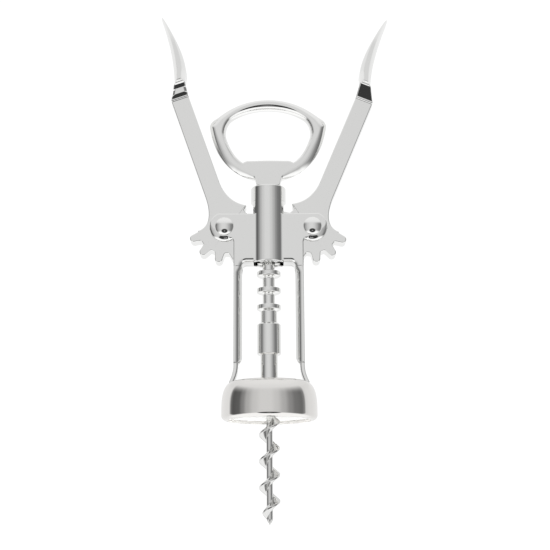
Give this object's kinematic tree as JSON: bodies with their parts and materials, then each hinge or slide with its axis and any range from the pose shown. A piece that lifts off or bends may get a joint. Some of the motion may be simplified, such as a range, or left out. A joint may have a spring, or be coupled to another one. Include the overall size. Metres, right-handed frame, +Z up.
{
  "type": "wing corkscrew",
  "caption": "Wing corkscrew with two geared levers, a ring handle that lifts crown caps, a bell that seats on the bottle, and a helical worm.",
  "frame": {"origin": "centre of the bell's rim, on the plane that meets the bottle", "axes": "+Z up the screw's axis, +X to the right-hand lever, -Y to the side that is looked at"},
  "size_m": [0.0892, 0.035, 0.1962],
  "materials": {
    "frame_chrome": "polished chrome plating on stamped sheet",
    "cast_chrome": "polished chrome plating on castings",
    "turned_chrome": "chrome plating on turned pieces",
    "worm_steel": "plated steel, a little duller",
    "pin_steel": "bare steel",
    "liner_white": "white moulded plastic"
  },
  "bodies": {
    "frame": {"frame_front": "frame_chrome", "frame_back": "frame_chrome", "left_pivot_rivet": "turned_chrome", "right_pivot_rivet": "turned_chrome", "bell": "cast_chrome", "bell_liner": "liner_white"},
    "rack": {"rack_sleeve": "turned_chrome"},
    "screw": {"handle": "cast_chrome", "handle_pin": "pin_steel", "spindle": "pin_steel", "ferrule": "turned_chrome", "worm_socket": "turned_chrome", "worm_pin": "pin_steel", "worm": "worm_steel"},
    "left_wing": {"left_lever": "cast_chrome"},
    "right_wing": {"right_lever": "cast_chrome"}
  },
  "joints": [
    {"name": "screw_lift", "type": "slide", "parent": "frame", "child": "rack", "axis": [0, 0, 1], "range_m": [0, 0.0295]},
    {"name": "screw_spin", "type": "hinge", "parent": "rack", "child": "screw", "pos_m": [0, 0, 0.0476], "axis": [0, 0, 1], "continuous": true},
    {"name": "left_lever_swing", "type": "hinge", "parent": "frame", "child": "left_wing", "pos_m": [-0.0165, 0, 0.0721], "axis": [0, -1, 0], "range_deg": [0, 139]},
    {"name": "right_lever_swing", "type": "hinge", "parent": "frame", "child": "right_wing", "pos_m": [0.0165, 0, 0.0721], "axis": [0, 1, 0], "range_deg": [0, 139]}
  ],
  "couplings": [
    {"joint": "left_lever_swing", "follows": "screw_lift", "rad_per_m": 82.198},
    {"joint": "right_lever_swing", "follows": "screw_lift", "rad_per_m": 82.198}
  ]
}
